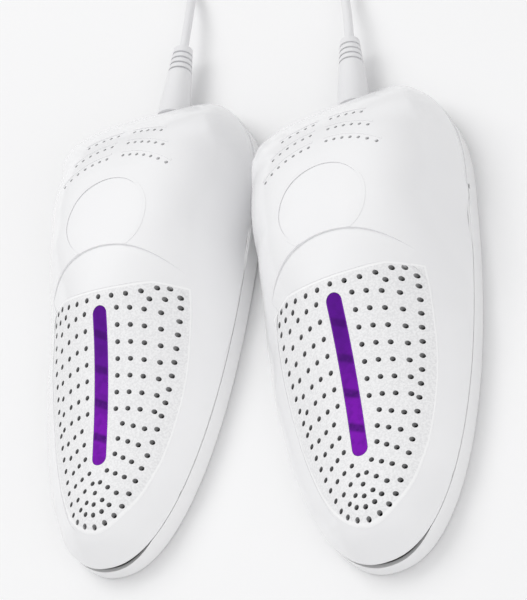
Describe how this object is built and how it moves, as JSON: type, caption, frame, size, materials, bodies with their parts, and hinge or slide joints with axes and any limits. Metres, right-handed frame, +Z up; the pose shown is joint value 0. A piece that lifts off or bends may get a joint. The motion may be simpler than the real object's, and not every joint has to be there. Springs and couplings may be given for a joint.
{
  "type": "boot dryer",
  "caption": "Pair of mouse-shaped warm-air boot dryers with perforated tops and violet lamp strips, each on a short lead that forks from one mains lead with a plug.",
  "frame": {"origin": "on the floor the two soles stand on, under the middle of the box round the two dryers without their lead", "axes": "+X from the left dryer to the right one, +Y from the toes to the heels that the leads leave, +Z up"},
  "size_m": [0.1576, 0.4895, 0.0399],
  "materials": {
    "gloss_white": "white injection-moulded ABS, high gloss, with a fine spark texture in the perforated zone",
    "violet_lens": "violet translucent polycarbonate",
    "circuit_board": "green solder mask",
    "led_package": "small surface-mounted lamps",
    "black_component": "chip resistors",
    "screw_steel": "zinc-plated steel",
    "heater_aluminium": "finned aluminium",
    "heater_ceramic": "dark ceramic",
    "mica_sheet": "mica",
    "spring_steel": "spring steel strip",
    "cutout_case": "black moulding",
    "relief_white": "soft white PVC",
    "clamp_plastic": "white nylon",
    "wire_red": "silicone insulation",
    "wire_brown": "silicone insulation",
    "cord_white": "round white PVC lead",
    "tie_strap": "hook-and-loop strap",
    "plug_white": "moulded white PVC plug",
    "pin_nickel": "nickel-plated brass"
  },
  "bodies": {
    "root": {"coil_tie": "tie_strap", "cord_splitter": "relief_white", "lead_coil": "cord_white", "left_board_screws": "screw_steel", "left_case_screws": "screw_steel", "left_clamp_screws": "screw_steel", "left_cord_clamp": "clamp_plastic", "left_heat_plate": "heater_aluminium", "left_heat_shield": "mica_sheet", "left_heater_clip": "spring_steel", "left_heater_screws": "screw_steel", "left_heater_wires": "wire_brown", "left_lamp_wires": "wire_red", "left_lead": "cord_white", "left_led_board": "circuit_board", "left_led_resistors": "black_component", "left_light_lens": "violet_lens", "left_lower_shell": "gloss_white", "left_ptc_heater": "heater_ceramic", "left_strain_relief": "relief_white", "left_thermal_cutout": "cutout_case", "left_upper_shell": "gloss_white", "left_uv_leds": "led_package", "mains_lead": "cord_white", "plug_body": "plug_white", "plug_pins": "pin_nickel", "plug_tail": "cord_white", "right_board_screws": "screw_steel", "right_case_screws": "screw_steel", "right_clamp_screws": "screw_steel", "right_cord_clamp": "clamp_plastic", "right_heat_plate": "heater_aluminium", "right_heat_shield": "mica_sheet", "right_heater_clip": "spring_steel", "right_heater_screws": "screw_steel", "right_heater_wires": "wire_brown", "right_lamp_wires": "wire_red", "right_lead": "cord_white", "right_led_board": "circuit_board", "right_led_resistors": "black_component", "right_light_lens": "violet_lens", "right_lower_shell": "gloss_white", "right_ptc_heater": "heater_ceramic", "right_strain_relief": "relief_white", "right_thermal_cutout": "cutout_case", "right_upper_shell": "gloss_white", "right_uv_leds": "led_package"}
  },
  "joints": []
}
